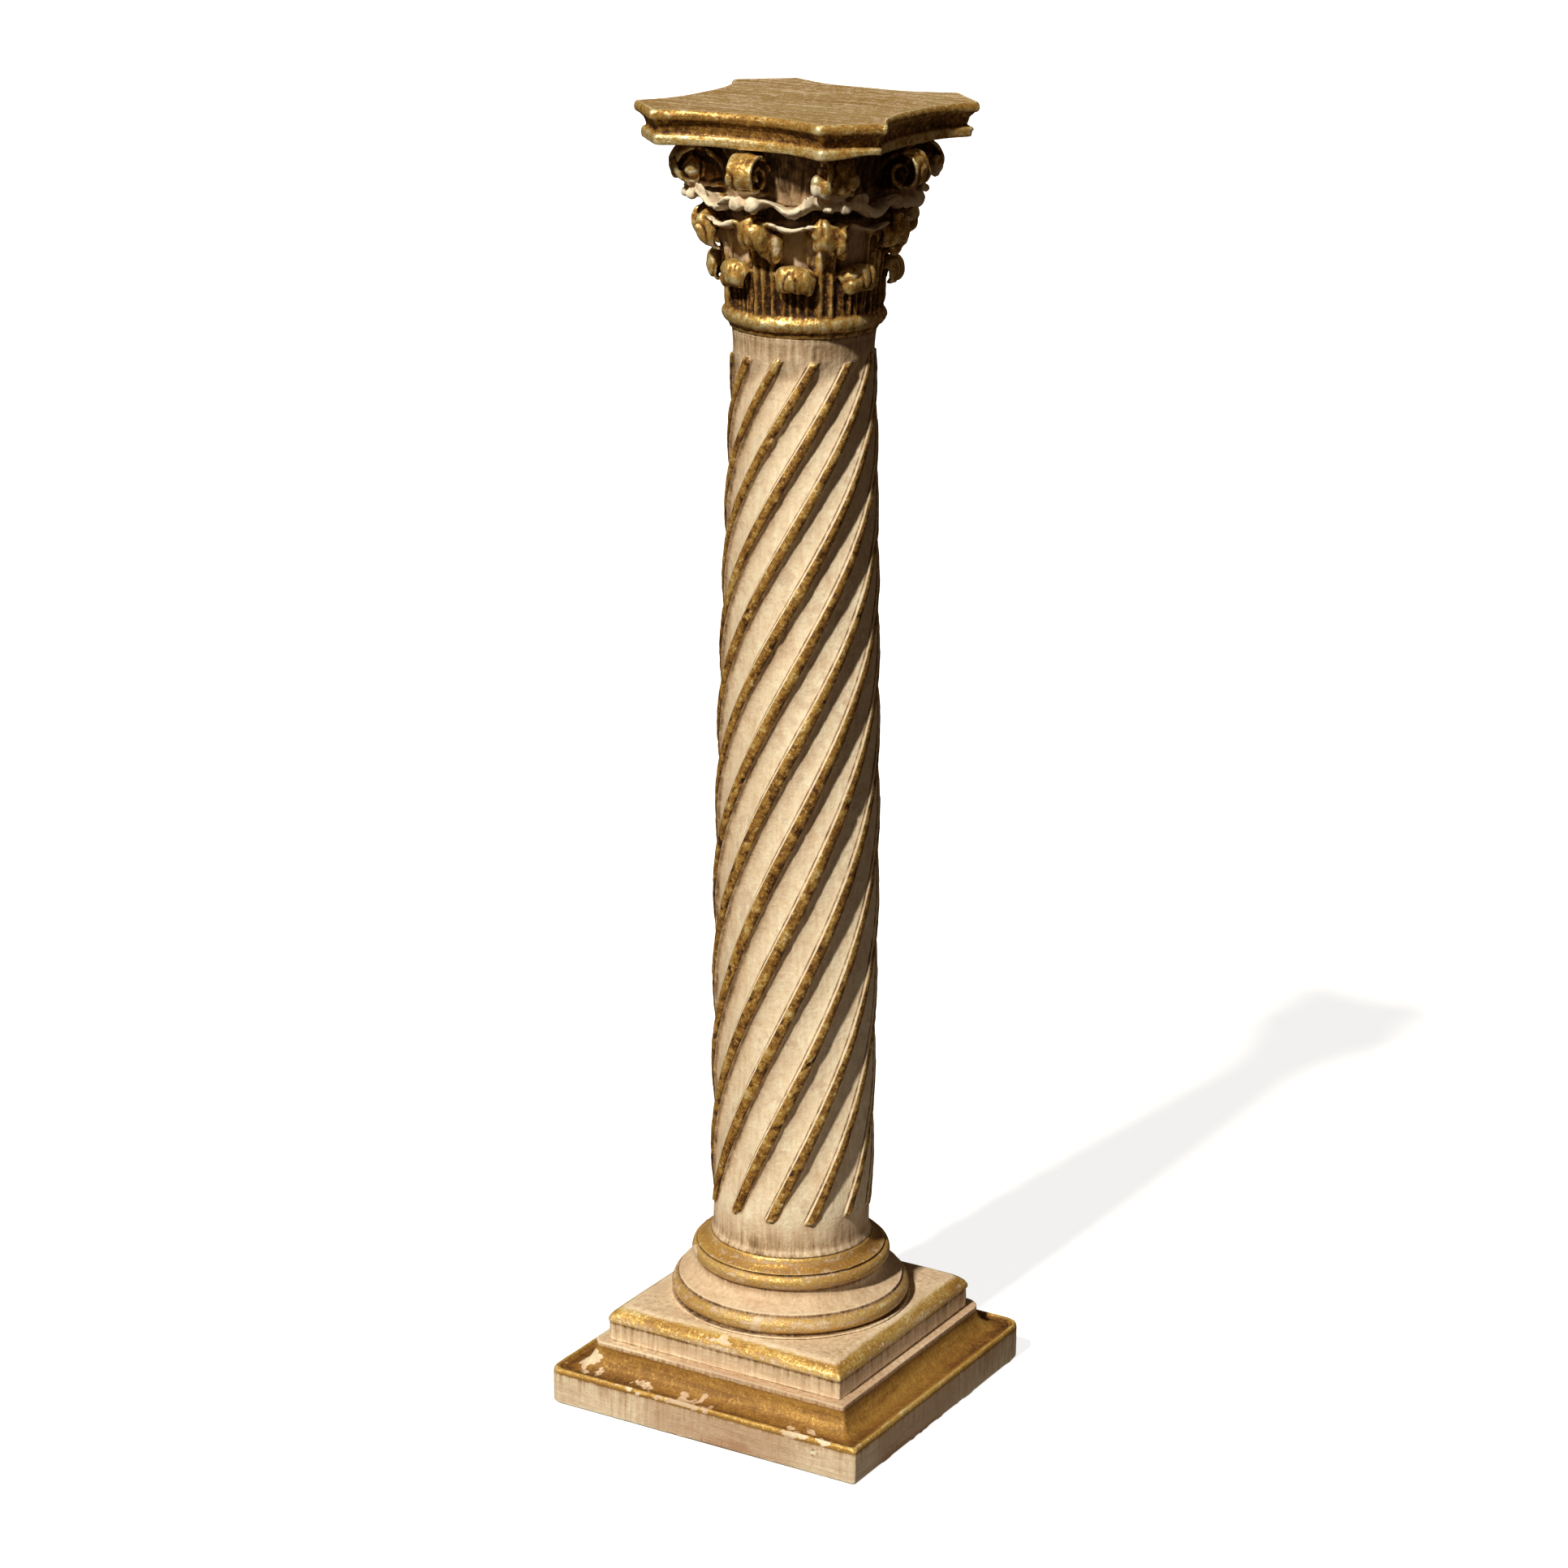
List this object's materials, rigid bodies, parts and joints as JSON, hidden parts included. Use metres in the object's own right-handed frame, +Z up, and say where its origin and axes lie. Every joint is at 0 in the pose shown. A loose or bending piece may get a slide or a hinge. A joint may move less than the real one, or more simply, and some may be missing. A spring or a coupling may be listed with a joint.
{
  "type": "column",
  "caption": "Gilded and painted wooden column with a stepped square foot, a turned base, a twisted fluted shaft and a leafy capital with scrolls under a hollow-sided top board",
  "frame": {"origin": "middle of the underside of the square foot, where the column stands", "axes": "+Z runs up the column's axis; the foot's broad side that the picture shows at the left faces -Y and the one at the right faces +X"},
  "size_m": [0.3, 0.3, 1.1048],
  "materials": {
    "plinth_board": "satin",
    "plinth_block": "satin",
    "turned_base": "satin",
    "shaft": "satin",
    "capital": "satin",
    "abacus": "satin"
  },
  "bodies": {
    "root": {"plinth_board": "plinth_board", "plinth_block": "plinth_block", "turned_base": "turned_base", "shaft": "shaft", "capital": "capital", "abacus": "abacus"}
  },
  "joints": []
}
